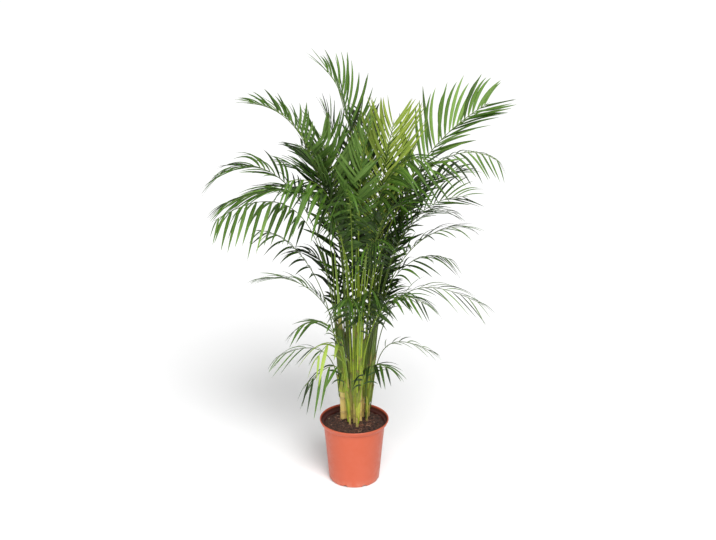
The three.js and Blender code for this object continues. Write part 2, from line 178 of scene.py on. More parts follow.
# What the plant is made of, in the same rows as the solids, in millimetres and degrees.
# Each cane: where it leaves the soil, its radius there, how high its last sheath reaches, how far
# its top leans, the length of its spear leaf, and its fronds.
# Each frond: height where it leaves the cane, azimuth, how far round the cane its stalk is set,
# reach of its tip, share of the reach at which it is drawn up to its arch, height of the arch,
# height of its tip, roll about its rib, hang of its leaflets from 0 for held up to 1 and more for
# hanging, how far the lowest leaflets are spread from the rib, their length against the usual, and
# the share of the frond that is bare stalk.
canes = [
    ((-31, 30), 11.5, 520, (-12, 4), 230, [
        (480, 182, 0, 325, 0.34, 1190, 1165, 25, 0.1, 66, 0.7, 0.5),
        (435, 172, -20, 405, 0.65, 1080, 890, 0, 0.5, 52, 0.8, 0.56),
        (390, 192, 10, 422, 0.37, 995, 808, -15, 1.6, 76, 0.5, 0.6),
        (350, 188, -20, 290, 0.85, 855, 775, -20, 1.2, 50, 0.55, 0.56),
        (305, 190, 0, 225, 0.44, 460, 390, 0, 0.9, 48, 0.9, 0.45)]),
    ((-13, -10), 3.6, 340, (-8, -8), 150, [
        (305, 205, 0, 190, 0.46, 590, 510, 15, 0.9, 50, 0.85, 0.42),
        (270, 225, 20, 150, 0.42, 530, 420, 0, 1.3, 44, 0.9, 0.42),
        (240, 205, -35, 165, 0.2, 435, 325, 0, 1.4, 60, 0.9, 0.32)]),
    ((9, -26), 4.5, 420, (6, -14), 200, [
        (390, 318, 0, 250, 0.5, 980, 900, 10, 0.5, 48, 0.75, 0.58),
        (350, 290, -40, 230, 0.4, 865, 830, 20, 1.3, 60, 0.7, 0.64),
        (295, 320, 20, 285, 0.59, 705, 625, 0, 0.8, 44, 0.8, 0.42),
        (245, 310, 0, 165, 0.49, 445, 420, 0, 1, 50, 1, 0.33)]),
    ((1, 1), 5, 500, (2, -10), 260, [
        (460, 300, 25, 130, 0.25, 1150, 1130, 30, 0.1, 34, 0.85, 0.5),
        (420, 335, 25, 280, 0.47, 1100, 1010, 30, 1.1, 56, 0.7, 0.56),
        (370, 262, -20, 230, 0.3, 1000, 965, 0, 1.5, 74, 0.66, 0.68),
        (325, 212, -40, 290, 0.2, 1030, 965, -15, 1.6, 74, 0.62, 0.66),
        (280, 256, 34, 135, 0.3, 668, 600, 0, 1.6, 70, 0.72, 0.66)]),
    ((25, 36), 5.5, 480, (14, 6), 240, [
        (440, 5, 0, 415, 0.67, 1130, 1190, 30, 0.05, 62, 1.05, 0.48),
        (395, 20, 20, 370, 0.7, 990, 930, 0, 0.3, 58, 0.8, 0.5),
        (335, 8, -40, 305, 0.57, 765, 655, 0, 0.9, 58, 0.7, 0.48),
        (280, 30, -25, 155, 0.54, 620, 585, 0, 0.5, 46, 0.9, 0.55)]),
    ((44, 44), 3.4, 390, (14, 2), 170, [
        (355, 8, -40, 295, 0.53, 910, 795, 0, 0.5, 60, 0.6, 0.52),
        (305, 345, 40, 380, 0.35, 695, 565, 0, 0.6, 52, 0.75, 0.45),
        (262, 8, -20, 235, 0.25, 480, 360, 0, 0.5, 48, 0.55, 0.45)]),
    ((38, 17), 3.6, 410, (16, -8), 190, [
        (375, 345, 40, 340, 0.6, 865, 820, -10, 0.5, 60, 0.75, 0.5),
        (335, 350, 60, 340, 0.49, 945, 905, 20, 0.2, 60, 0.85, 0.52),
        (285, 318, 0, 180, 0.4, 660, 610, 0, 0.6, 46, 0.8, 0.55),
        (240, 275, -30, 140, 0.35, 690, 630, 0, 1.6, 70, 0.72, 0.66)]),
    ((-7, 30), 4.6, 500, (-6, 2), 260, [
        (460, 205, 60, 105, 0.76, 1010, 1145, 20, 0.15, 58, 1.35, 0.44),
        (415, 188, -60, 155, 0.45, 975, 1040, 10, 0.3, 58, 1.25, 0.46),
        (365, 190, 0, 245, 0.2, 975, 1015, 0, 0.3, 46, 0.85, 0.52)]),
    ((18, 10), 5.5, 520, (8, 2), 280, [
        (485, 140, 0, 210, 0.2, 1250, 1265, 20, 0.05, 43, 1, 0.5),
        (440, 355, 0, 435, 0.74, 1150, 950, 30, 1.3, 60, 0.44, 0.5),
        (395, 200, 0, 468, 0.25, 1020, 898, 10, 0.5, 42, 0.8, 0.5)]),
    ((-15, 64), 5.2, 470, (-8, 12), 230, [
        (430, 165, 0, 120, 0.16, 1140, 1160, 10, 0.2, 60, 1, 0.5),
        (380, 128, -20, 300, 0.3, 975, 1000, 0, 0.3, 50, 1, 0.2),
        (330, 190, 15, 305, 0.62, 680, 630, 15, 0.4, 42, 0.75, 0.5),
        (285, 148, -18, 230, 0.45, 740, 660, 0, 0.5, 36, 0.9, 0.28)]),
    ((38, 68), 5.5, 490, (22, 4), 250, [
        (450, 315, -40, 95, 0.7, 1045, 1180, -45, 0, 44, 1.2, 0.42),
        (405, 100, 0, 215, 0.4, 1110, 1110, 0, 0.3, 50, 1, 0.18),
        (355, 50, -40, 340, 0.42, 890, 885, 0, 0.4, 50, 0.95, 0.3),
        (310, 75, 20, 300, 0.5, 740, 680, 0, 0.5, 36, 0.85, 0.28)]),
]
soilTop = 184  # mm


def plug(tree, socket, value):
    # a socket takes a link from another node or a plain value
    if isinstance(value, bpy.types.NodeSocket):
        tree.links.new(value, socket)
    else:
        socket.default_value = value


def addNode(tree, kind, inputs=None, **settings):
    node = tree.nodes.new("ShaderNode" + kind)
    for key, value in settings.items():
        setattr(node, key, value)
    for key, value in (inputs or {}).items():
        plug(tree, node.inputs[key], value)
    return node


def layered(tree, colours, first, *layers):
    # the first colour, with each further one laid over it by its share
    colour = (*colours[first], 1)
    for name, share in layers:
        node = addNode(tree, "Mix", {"Factor": share}, data_type="RGBA")
        plug(tree, node.inputs[6], colour)
        plug(tree, node.inputs[7], (*colours[name], 1))
        colour = node.outputs[2]
    return colour


def ramp(tree, value, low, high, start=0.0, end=1.0):
    # eases from start to end while the value goes from low to high
    node = addNode(tree, "MapRange", {"Value": value, "From Min": low, "From Max": high,
                                      "To Min": start, "To Max": end}, interpolation_type="SMOOTHSTEP")
    return node.outputs["Result"]


def calculate(tree, operation, *values):
    return addNode(tree, "Math", dict(enumerate(values)), operation=operation).outputs[0]


def times(tree, a, b):
    return calculate(tree, "MULTIPLY", a, b)


def noiseOf(tree, vector, scale, detail, **more):
    return addNode(tree, "TexNoise", {"Vector": vector, "Scale": scale, "Detail": detail, **more}).outputs[0]


def newGroup(name, inputs):
    # the group, its inputs by name, and the socket that its value leaves by
    group = bpy.data.node_groups.new(name, "ShaderNodeTree")
    for label, kind in inputs.items():
        group.interface.new_socket(label, in_out="INPUT", socket_type="NodeSocket" + kind)
    group.interface.new_socket("Value", in_out="OUTPUT", socket_type="NodeSocketFloat")
    return group, group.nodes.new("NodeGroupInput").outputs, group.nodes.new("NodeGroupOutput").inputs[0]


# soft blotches: a large noise with a small one in it
blotches, given, leaving = newGroup("blotches", {"Vector": "Vector", "Scale": "Float", "Contrast": "Float"})
large = noiseOf(blotches, given["Vector"], given["Scale"], 3, Roughness=0.6)
small = noiseOf(blotches, given["Vector"], times(blotches, given["Scale"], 6.3), 2)
summed = calculate(blotches, "ADD", times(blotches, large, 0.7), times(blotches, small, 0.3))
low = calculate(blotches, "SUBTRACT", 0.5, given["Contrast"])
high = calculate(blotches, "ADD", 0.5, given["Contrast"])
plug(blotches, leaving, ramp(blotches, summed, low, high))

# long fibres or veins: a noise drawn out along one axis
fibres, given, leaving = newGroup("fibres", {"Vector": "Vector", "Stretch": "Vector"})
drawn = addNode(fibres, "VectorMath", {0: given["Vector"], 1: given["Stretch"]}, operation="MULTIPLY")
plug(fibres, leaving, ramp(fibres, noiseOf(fibres, drawn.outputs[0], 1, 2), 0.3, 0.7))


def blotched(tree, vector, scale, contrast):
    inputs = {"Vector": vector, "Scale": scale, "Contrast": contrast}
    return addNode(tree, "Group", inputs, node_tree=blotches).outputs[0]


def fibrous(tree, vector, *stretch):
    return addNode(tree, "Group", {"Vector": vector, "Stretch": stretch}, node_tree=fibres).outputs[0]


def heightOf(tree, coords):
    # in metres above the floor
    return addNode(tree, "SeparateXYZ", {"Vector": coords}).outputs["Z"]


def attributeOf(tree, name):
    return addNode(tree, "Attribute", attribute_name=name).outputs["Fac"]


def newMaterial(name, **plain):
    # the material, its nodes, and the coordinates that its patterns follow
    material = bpy.data.materials.new(name)
    material.use_nodes = True
    tree = material.node_tree
    for key, value in plain.items():
        tree.nodes["Principled BSDF"].inputs[key.replace("_", " ")].default_value = value
    return material, tree, addNode(tree, "TexCoord").outputs["Object"]


def finished(material, colour, relief, strength, depth, roughness=None):
    # the relief goes in as a bump, with its depth in metres
    tree = material.node_tree
    shader = tree.nodes["Principled BSDF"].inputs
    bump = addNode(tree, "Bump", {"Height": relief, "Strength": strength, "Distance": depth})
    plug(tree, shader["Normal"], bump.outputs["Normal"])
    plug(tree, shader["Base Color"], colour)
    if roughness is not None:
        plug(tree, shader["Roughness"], roughness)
    return material


# inside: painted shade, the dark inner wall under the rim
potColours = {"body": (0.45, 0.075, 0.026), "faded": (0.47, 0.093, 0.044), "inside": (0.05, 0.009, 0.006),
              "dust": (0.5, 0.22, 0.15)}


def potPlastic():
    material, tree, coords = newMaterial("potPlastic", Roughness=0.42, IOR=1.49)
    scuffs = blotched(tree, coords, 70, 0.12)
    foot = ramp(tree, heightOf(tree, coords), 0.0, 0.03, 0.5, 0.0)  # dusty near the floor
    # the inner wall is laid over with painted shade
    colour = layered(tree, potColours, "body", ("faded", blotched(tree, coords, 9, 0.3)),
                     ("dust", times(tree, foot, scuffs)), ("inside", attributeOf(tree, "inside")))
    grain = noiseOf(tree, coords, 900, 2)
    return finished(material, colour, grain, 0.15, 0.0004, ramp(tree, scuffs, 0, 1, 0.36, 0.5))


soilColours = {"wet": (0.008, 0.004, 0.003), "peat": (0.028, 0.013, 0.01), "bark": (0.10, 0.04, 0.024),
               "root": (0.32, 0.12, 0.065), "pale": (0.42, 0.27, 0.17)}


def compostMaterial():
    material, tree, coords = newMaterial("compost", Roughness=0.9)
    clumps = blotched(tree, coords, 45, 0.14)
    grains = addNode(tree, "TexVoronoi", {"Vector": coords, "Scale": 330}).outputs["Distance"]
    colour = layered(tree, soilColours, "wet", ("peat", clumps), ("bark", ramp(tree, grains, 0.35, 0.75)))
    return finished(material, colour, grains, 0.8, 0.002, ramp(tree, clumps, 0, 1, 0.6, 0.95))


def crumbMaterial():
    material, tree, coords = newMaterial("compostCrumb", Roughness=0.88)
    tone = attributeOf(tree, "tone")
    grain = noiseOf(tree, coords, 600, 3)
    colour = layered(tree, soilColours, "wet", ("bark", ramp(tree, tone, 0, 0.8)),
                     ("pale", ramp(tree, tone, 0.9, 1)), ("peat", ramp(tree, grain, 0.4, 0.7)))
    return finished(material, colour, grain, 0.6, 0.001)


def rootMaterial():
    material, tree, coords = newMaterial("rootSkin", Roughness=0.75)
    patches = blotched(tree, coords, 120, 0.2)
    colour = layered(tree, soilColours, "bark", ("root", patches), ("pale", attributeOf(tree, "tone")))
    return finished(material, colour, patches, 0.5, 0.0008)


stemColours = {"foot": (0.72, 0.52, 0.16), "stem": (0.50, 0.42, 0.11), "green": (0.10, 0.15, 0.02),
               "scar": (0.22, 0.13, 0.05), "stain": (0.10, 0.07, 0.03)}


def caneSkin(name, greenness):
    material, tree, coords = newMaterial(name, Roughness=0.45, Coat_Weight=0.15, Coat_Roughness=0.3)
    height = heightOf(tree, coords)
    long = fibrous(tree, coords, 320, 320, 14)
    patches = blotched(tree, coords, 40, 0.25)
    rise = ramp(tree, height, 0.2, 0.42, greenness, 1.0)  # greener towards the sheaths
    soiled = ramp(tree, height, 0.176, 0.2, 1.0, 0.0)  # just over the soil
    colour = layered(
        tree, stemColours, "foot", ("stem", ramp(tree, height, 0.18, 0.34)),
        ("green", times(tree, rise, ramp(tree, patches, 0, 1, 0.55, 1))), ("foot", times(tree, long, 0.35)),
        ("scar", attributeOf(tree, "scar")), ("stain", times(tree, soiled, patches)))
    return finished(material, colour, long, 0.3, 0.0005, ramp(tree, long, 0, 1, 0.38, 0.55))


sheathColours = {"low": (0.46, 0.44, 0.06), "middle": (0.25, 0.33, 0.022), "high": (0.07, 0.13, 0.01),
                 "rim": (0.20, 0.13, 0.05), "dry": (0.20, 0.12, 0.04), "bloom": (0.30, 0.32, 0.06),
                 "shade": (0.075, 0.125, 0.014)}


def sheathSkin():
    material, tree, coords = newMaterial("sheathSkin", Roughness=0.5, Specular_IOR_Level=0.3)
    long = fibrous(tree, coords, 420, 420, 9)
    unevenness = times(tree, blotched(tree, coords, 30, 0.25), 0.08)
    height = calculate(tree, "ADD", heightOf(tree, coords), unevenness)
    spots = ramp(tree, blotched(tree, coords, 17, 0.1), 0.55, 1)
    old = ramp(tree, height, 0.38, 0.46, 0.45, 0)  # only the lowest sheaths have dry spots
    colour = layered(
        tree, sheathColours, "low", ("middle", ramp(tree, height, 0.24, 0.34)),
        ("high", ramp(tree, height, 0.32, 0.5)), ("bloom", times(tree, long, 0.5)),
        ("dry", times(tree, spots, old)), ("shade", times(tree, attributeOf(tree, "tone"), 0.8)),
        ("rim", ramp(tree, attributeOf(tree, "along"), 0.93, 0.99)))
    return finished(material, colour, long, 0.4, 0.0005)


# shade: painted shade on the stalks and ribs of the canes at the sides and back
stalkColours = {"foot": (0.26, 0.34, 0.022), "middle": (0.15, 0.23, 0.012), "rib": (0.07, 0.12, 0.014),
                "speck": (0.05, 0.06, 0.015), "shade": (0.05, 0.085, 0.012)}


def stalkSkin():
    material, tree, coords = newMaterial("stalkSkin", Roughness=0.42, Specular_IOR_Level=0.3)
    along = attributeOf(tree, "along")
    specks = noiseOf(tree, coords, 420, 2)
    # painted shade darkens the stalks of the canes at the sides and back
    colour = layered(
        tree, stalkColours, "foot", ("middle", ramp(tree, along, 0.0, 0.35)),
        ("rib", ramp(tree, along, 0.4, 0.75)), ("foot", times(tree, blotched(tree, coords, 60, 0.2), 0.35)),
        ("shade", times(tree, attributeOf(tree, "tone"), 0.8)),
        ("speck", ramp(tree, specks, 0.62, 0.7, 0, 0.6)))
    return finished(material, colour, specks, 0.2, 0.0005)


# dark is near black, painted shade for leaflets deep in the crown; light is a leaf's own light green, greyed
# a little as a painted sheen of the sky on upturned leaflets
leafColours = {"dark": (0.003, 0.010, 0.001), "green": (0.034, 0.100, 0.005), "light": (0.157, 0.275, 0.06),
               "young": (0.42, 0.51, 0.065), "rib": (0.22, 0.30, 0.06), "tip": (0.16, 0.10, 0.04),
               "under": (0.05, 0.10, 0.02)}


def leafMaterial(name, usual, smoothest, roughest, under):
    # its roughness, and the share of the underside's colour
    material, tree, coords = newMaterial(name, Roughness=usual, Specular_IOR_Level=0.22,
                                         Subsurface_Weight=0.15, Subsurface_Scale=0.002,
                                         Subsurface_Radius=(0.6, 1.0, 0.2))
    uv = addNode(tree, "UVMap").outputs[0]
    parts = addNode(tree, "SeparateXYZ", {"Vector": uv}).outputs
    lengthwise, across = parts["X"], parts["Y"]
    tone = attributeOf(tree, "tone")
    veins = fibrous(tree, uv, 1.5, 26, 1)
    fromMiddle = calculate(tree, "ABSOLUTE", calculate(tree, "SUBTRACT", across, 0.5))
    midrib = ramp(tree, fromMiddle, 0.015, 0.06, 1, 0)
    worn = calculate(tree, "ADD", lengthwise, times(tree, tone, 0.05))
    # the patterns show less on dark leaflets
    patches, veining, ribbing = [
        times(tree, pattern, ramp(tree, tone, 0, 0.5, faint, full)) for pattern, faint, full in (
            (blotched(tree, coords, 14, 0.22), 0.03, 0.2), (veins, 0.03, 0.14), (midrib, 0.2, 0.6))]
    colour = layered(
        tree, leafColours, "dark", ("green", ramp(tree, tone, 0, 0.5)), ("light", ramp(tree, tone, 0.5, 1)),
        ("young", attributeOf(tree, "age")), ("light", patches), ("rib", veining), ("rib", ribbing),
        ("under", under), ("rib", ramp(tree, lengthwise, 0.0, 0.07, 0.7, 0.0)),
        ("tip", ramp(tree, worn, 0.96, 1.02)))
    return finished(material, colour, veins, 0.25, 0.0006, ramp(tree, veins, 0, 1, smoothest, roughest))


spearColours = {"fold": (0.12, 0.2, 0.03), "face": (0.27, 0.38, 0.06)}


def spearSkin():
    material, tree, coords = newMaterial("spearSkin", Roughness=0.42)
    long = fibrous(tree, coords, 500, 500, 12)
    return finished(material, layered(tree, spearColours, "fold", ("face", long)), long, 0.5, 0.0006)


materials = {
    "pot": potPlastic(), "compost": compostMaterial(), "crumb": crumbMaterial(), "root": rootMaterial(),
    "cane": caneSkin("caneSkin", 0.0), "greenCane": caneSkin("greenCaneSkin", 0.75),
    "sheath": sheathSkin(), "stalk": stalkSkin(), "spear": spearSkin(),
    "leaf": leafMaterial("leafBlade", 0.38, 0.36, 0.5, 0),
    "leafUnder": leafMaterial("leafUnderside", 0.55, 0.5, 0.62, 0.35),
}


def dress(obj, *names):
    obj.data.materials.clear()
    for name in names:
        obj.data.materials.append(materials[name])


print("materials made")

potSettings = {
    "sides": 112,
    "outside": [(20, 0), (60, 0), (70, 0), (73, 0.3), (75.2, 1.3), (76.6, 2.8), (77.3, 4.8), (78.0, 12),
                (83, 70), (88.5, 130), (91.6, 163), (92.3, 174), (92.5, 178.2), (93.3, 178.9), (93.8, 182),
                (95.2, 184.4), (99.6, 186.6), (101.2, 188.4), (102.6, 193), (103.2, 195.2),
                (104.6, 195.9)],
    "lip": [(105, 197.4), (104.9, 199), (104.2, 199.8), (103.2, 200), (102.2, 199.6), (101.4, 198.6)],
    "inside": [(100.3, 193.5), (98.9, 188.6), (97.4, 186.8), (93.2, 185.2), (91.5, 182), (90.3, 174),
               (86.4, 130), (81, 70), (75.6, 8), (74.6, 4.6), (72.4, 3.2), (60, 3), (20, 3)],
    "slots": 8, "firstSlot": 24, "slotRadius": 9.6, "slotLength": 22, "slotSides": 40,
    "slotReach": 74, "slotHeight": -2.8,  # to the middle of each slot, from the pot's axis and foot
    "shadeFrom": 2.9, "shadeTo": 198, "shadeInset": 1.5,  # where painted shade darkens the inside
}


def makePot():
    its = potSettings
    profile = its["outside"] + its["lip"] + its["inside"]
    pot = turnedTube("pottedPalmPot", its["sides"], [(r * mm, z * mm) for r, z in profile])
    x, y, z = places(pot).T / mm
    wall = np.interp(z, *reversed(np.transpose(its["outside"])))
    shadedInside = np.hypot(x, y) < wall - its["shadeInset"]
    # marks the inner wall for the painted shade
    paint(pot, "inside", shadedInside & (z > its["shadeFrom"]) & (z < its["shadeTo"]))
    for k in range(its["slots"]):
        azimuth = its["firstSlot"] + 360 * k / its["slots"]
        middle = heading(azimuth) * its["slotReach"] * mm
        clearSelection()
        bpy.ops.mesh.primitive_cylinder_add(
            vertices=its["slotSides"], radius=its["slotRadius"] * mm, depth=its["slotLength"] * mm,
            location=(middle.x, middle.y, its["slotHeight"] * mm),
            rotation=(math.radians(90), 0, math.radians(azimuth + 90)))
        cutter = bpy.context.object
        applyModifier(pot, "BOOLEAN", object=cutter, operation="DIFFERENCE", solver="EXACT")
        bpy.data.objects.remove(cutter)
    dress(pot, "pot")
    finishPiece(smoothed(pot, 35), "pot", "pot")


makePot()
print("pot made")

compostSettings = {
    "edge": 91, "foot": 74, "floor": 3.5, "rings": 30, "sides": 96,
    "lump": 2.2, "clods": 3.2, "clodScale": 0.12, "grain": 1.4, "grainScale": 0.45,
    "edgeFall": 2.5, "edgeWidth": 10,  # how the top falls away beside the wall
}


def soilHeight(x, y):
    # the surface that everything on the soil lies on, in millimetres
    its = compostSettings
    lump = math.sin(x * 0.11 + y * 0.05) * math.cos(y * 0.13 - x * 0.04)
    place = Vector((x, y, 0))
    clods = noise.noise(place * its["clodScale"]) * its["clods"]
    grain = noise.noise(place * its["grainScale"]) * its["grain"]
    return soilTop + its["lump"] * lump + clods + grain


def makeCompost():
    edge, foot, floor, rings = [compostSettings[key] for key in ("edge", "foot", "floor", "rings")]
    profile = [(foot * 0.4, floor), (foot, floor), (edge - 0.8, soilTop - 8), (edge, soilTop)]
    profile += [(edge * (1 - k / rings), soilTop) for k in range(1, rings)]
    compost = turnedTube("compostFill", compostSettings["sides"], [(r * mm, z * mm) for r, z in profile])
    points = places(compost)
    for p in points:
        if p[2] > (soilTop - 1) * mm:  # the top
            fall = smoothStep(math.hypot(p[0], p[1]) / mm, edge - compostSettings["edgeWidth"], edge)
            p[2] = (soilHeight(p[0] / mm, p[1] / mm) - compostSettings["edgeFall"] * fall) * mm
    moveTo(compost, points)
    dress(compost, "compost")
    finishPiece(smoothed(compost, 60), "soil", "soil")


makeCompost()

crumbSettings = {
    "count": 900, "smallest": 1.0, "largest": 4.2, "seed": 7, "shapes": 6,
    "square": 88, "edge": 87,  # they are strewn over a square, and those inside the edge are kept
    "fallFrom": 79, "fallTo": 89, "lift": 0.15, "caneGap": 0.6,
}


def makeCrumbShapes(rng):
    shapes = []
    for _ in range(crumbSettings["shapes"]):
        clearSelection()
        bpy.ops.mesh.primitive_ico_sphere_add(subdivisions=1, radius=1)
        shape = bpy.context.object
        editAll()
        bpy.ops.transform.resize(value=(1, rng.uniform(0.5, 0.8), rng.uniform(0.35, 0.6)),
                                 center_override=(0, 0, 0))
        bpy.ops.object.mode_set(mode="OBJECT")
        points = places(shape)
        moveTo(shape, points * rng.uniform(0.72, 1.2, (len(points), 1)))
        paint(shape, "tone", 0)
        dress(shape, "crumb")
        shapes.append(shape)
    return shapes


def turnMatrix(rng):
    # a random turn, mostly about the upright
    spin, tip = rng.uniform(0, 2 * math.pi), rng.normal(0, 0.5)
    c, s, ct, st = math.cos(spin), math.sin(spin), math.cos(tip), math.sin(tip)
    return np.array([[c, -s, 0], [s, c, 0], [0, 0, 1]]) @ np.array([[1, 0, 0], [0, ct, -st], [0, st, ct]])


def makeCrumbs():
    its = crumbSettings
    rng = np.random.RandomState(its["seed"])
    shapes = makeCrumbShapes(rng)
    crumbs = []
    while len(crumbs) < its["count"]:
        x, y = rng.uniform(-its["square"], its["square"], 2)
        size = mix(its["smallest"], its["largest"], rng.rand() ** 3)
        gap = size * its["caneGap"]
        outside = math.hypot(x, y) > its["edge"] - size
        if outside or any(math.hypot(x - at[0], y - at[1]) < radius + gap for at, radius, *_ in canes):
            continue
        shape = shapes[rng.randint(len(shapes))]
        stretch = np.array([rng.choice([1, 1, 1.8]), 1, 1])
        points = (places(shape) * stretch * size) @ turnMatrix(rng).T
        share = smoothStep(math.hypot(x, y), its["fallFrom"], its["fallTo"])
        ground = soilHeight(x, y) - compostSettings["edgeFall"] * share
        points += (x, y, ground + its["lift"] * size)
        crumb = copyOf(shape, points * mm)
        paint(crumb, "tone", rng.rand())
        crumbs.append(crumb)
    for shape in shapes:
        bpy.data.objects.remove(shape)
    finishPiece(joinAll(crumbs, "compostCrumbs"), "soil")


makeCrumbs()

rootSettings = {
    "seed": 5, "thickness": (0.5, 1.2), "pointsEach": 9, "scatter": 5, "stride": 1.5, "wander": 26,
    "arc": (1.5, 4), "sink": 2.2, "taper": 0.55, "tone": (0.15, 0.2),
}
# where a tuft of roots lies on the soil: place, how many, how far they spread
rootTufts = [((30, -22), 11, 20), ((-24, 4), 3, 10), ((12, -50), 5, 16), ((40, 2), 5, 14),
             ((-8, -26), 4, 12), ((-48, 30), 3, 14), ((30, 66), 4, 14)]


def makeRoot(rng, x, y, spread):
    # wanders over the soil from x, y, with both its ends sunk in it
    its = rootSettings
    course = rng.uniform(0, 360)
    clearSelection()
    bpy.ops.curve.primitive_nurbs_path_add()
    root = bpy.context.object
    spline = root.data.splines[0]
    spline.points.add(its["pointsEach"] - len(spline.points))
    step = spread / its["pointsEach"] * its["stride"]
    arc = rng.uniform(*its["arc"])
    for k, point in enumerate(spline.points):
        share = k / (its["pointsEach"] - 1)
        bow = math.sin(math.pi * share)
        lift = arc * bow - its["sink"] * (1 - bow)
        point.co = (x * mm, y * mm, (soilHeight(x, y) + lift) * mm, 1)
        point.radius = mix(1, its["taper"], share)
        course += rng.normal(0, its["wander"])
        x += step * math.cos(math.radians(course))
        y += step * math.sin(math.radians(course))
    spline.use_endpoint_u = True
    root.data.resolution_u = 3
    root.data.bevel_depth = rng.uniform(*its["thickness"]) * mm
    root.data.bevel_resolution = 1
    root.data.use_fill_caps = True
    bpy.ops.object.convert(target="MESH")
    root = bpy.context.object
    paint(root, "tone", max(rng.normal(*its["tone"]), 0))
    dress(root, "root")
    return root


def makeRoots():
    rng = np.random.RandomState(rootSettings["seed"])
    roots = []
    for (cx, cy), count, spread in rootTufts:
        for _ in range(count):
            x, y = cx + rng.normal(0, rootSettings["scatter"]), cy + rng.normal(0, rootSettings["scatter"])
            roots.append(makeRoot(rng, x, y, spread))
    finishPiece(smoothed(joinAll(roots, "surfaceRoots"), 60), "soil")


makeRoots()
print("compost, crumbs and roots made")

caneSettings = {
    "sides": 24, "foot": 150, "rings": 42, "neck": 4, "thickFrom": 5,
    "scarStep": 46, "firstScar": 24, "lastScar": 50, "scarRise": 1.2, "scarShade": 0.5, "nearShade": 0.15,
    "swell": 1.6, "swellTop": 12, "swellReach": 24,  # a thick cane's foot, from over the soil down
    "waver": 0.05,
    "stalkGap": 4.6, "shoulder": (0.06, 0.8),  # where a frond turns: shares of its reach and arch
}
# share of a scar's rise, by the height over its middle in millimetres
scarShape = {-5: 0, -3: 0.25, -1.4: 0.85, 0: 1, 1.4: 0.35, 3.5: -0.35, 6: 0}

sheathSettings = {
    "start": 0.3,  # from here up the cane slims, a share of the way to its last sheath
    "slimming": 0.3, "leastRadius": 2.4,  # up there: this share of its radius and millimetres more
    "overlap": 30, "below": 28, "inSoil": 4, "sides": 24, "ringStep": 9, "fewestRings": 8,
    "skin": (0.35, 1.0), "stalkHalf": 2.4, "swellFrom": 75, "swellTo": 4,
    "mouth": 6, "tongue": 26, "notch": 12, "thickness": 0.7,
}


def sheathStart(cane):
    return mix(soilTop, cane[2], sheathSettings["start"])


def sheathRadius(cane):
    return min(sheathSettings["slimming"] * cane[1] + sheathSettings["leastRadius"], cane[1])


def isThick(cane):
    return cane[1] > caneSettings["thickFrom"]


def slotOf(cane):
    return "cane" if isThick(cane) else "green_cane"


def caneRadius(cane, height):
    share = (height - sheathStart(cane)) / (cane[2] - sheathStart(cane))
    return mix(cane[1], sheathRadius(cane), min(max(share, 0), 1))


def caneAxis(cane, height):
    at, _, top, lean = cane[:4]
    share = max(height - soilTop, 0) / (top - soilTop)
    drift = 0.35 * share + 0.65 * share * share  # more and more towards the top
    return Vector((at[0] + lean[0] * drift, at[1] + lean[1] * drift, height))


def followAxis(obj, cane):
    # a straight tube's rings, each moved onto the leaning axis
    points = places(obj)
    for p in points:
        axis = caneAxis(cane, p[2] / mm)
        p[0] += axis.x * mm
        p[1] += axis.y * mm
    moveTo(obj, points)


def scarNear(height, scars):
    # how far over the nearest scar a height is
    return min([height - z for z in scars], key=abs)


def makeStem(k, cane):
    its = caneSettings
    thick = isThick(cane)
    scars = np.arange(soilTop + its["firstScar"], sheathStart(cane) + its["lastScar"], its["scarStep"])
    if not thick:
        scars = scars[:1]
    heights = set(np.linspace(its["foot"], cane[2] + its["neck"], its["rings"]).round(1))
    for z in scars:  # its own rings, and the plain ones near it left out
        heights = {h for h in heights if not -6 < h - z < 8} | {z + step for step in scarShape}
    rise = its["scarRise"] * (1 if thick else 0.5)
    swellTop = soilTop + its["swellTop"]
    profile = []
    for z in sorted(heights):
        r = caneRadius(cane, z) + rise * scarShape.get(round(scarNear(z, scars), 1), 0)
        if thick:
            r += its["swell"] * smoothStep(swellTop - z, 0, its["swellReach"])
        profile.append((r * mm, z * mm))
    stem = turnedTube(f"caneStem_{k}", its["sides"], profile)
    points = places(stem)
    shade = []
    for p in points:
        wave = noise.noise(Vector((p[0], p[1], p[2] * 0.4)) / mm * 0.06 + Vector((k * 9, 0, 0)))
        p[:2] *= 1 + its["waver"] * wave
        over = scarNear(p[2] / mm, scars)
        faint = its["nearShade"] if abs(over) < 5.5 else 0
        shade.append(its["scarShade"] if -1.5 < over < 3.6 else faint)
    moveTo(stem, points)
    paint(stem, "scar", shade)
    followAxis(stem, cane)
    dress(stem, "cane" if thick else "greenCane")
    finishPiece(smoothed(stem, 70), slotOf(cane), f"cane_{k}")


def sheathReach(cane, row, z, facing, share):
    # distance from the cane's axis to the outside of the sheath that bears a frond, facing 1 on
    # the frond's side and -1 opposite
    leaves, reach, arch = row[0], row[3], row[5]
    skin = mix(*sheathSettings["skin"], share)
    swell = (caneSettings["stalkGap"] + sheathSettings["stalkHalf"] - skin) * smoothStep(
        z, leaves - sheathSettings["swellFrom"], leaves + sheathSettings["swellTo"])
    out, up = caneSettings["shoulder"]
    drift = max(z - leaves, 0) * out * reach / (up * (arch - leaves))
    return caneRadius(cane, z) + skin + (swell + drift) * max(facing, 0) ** 5


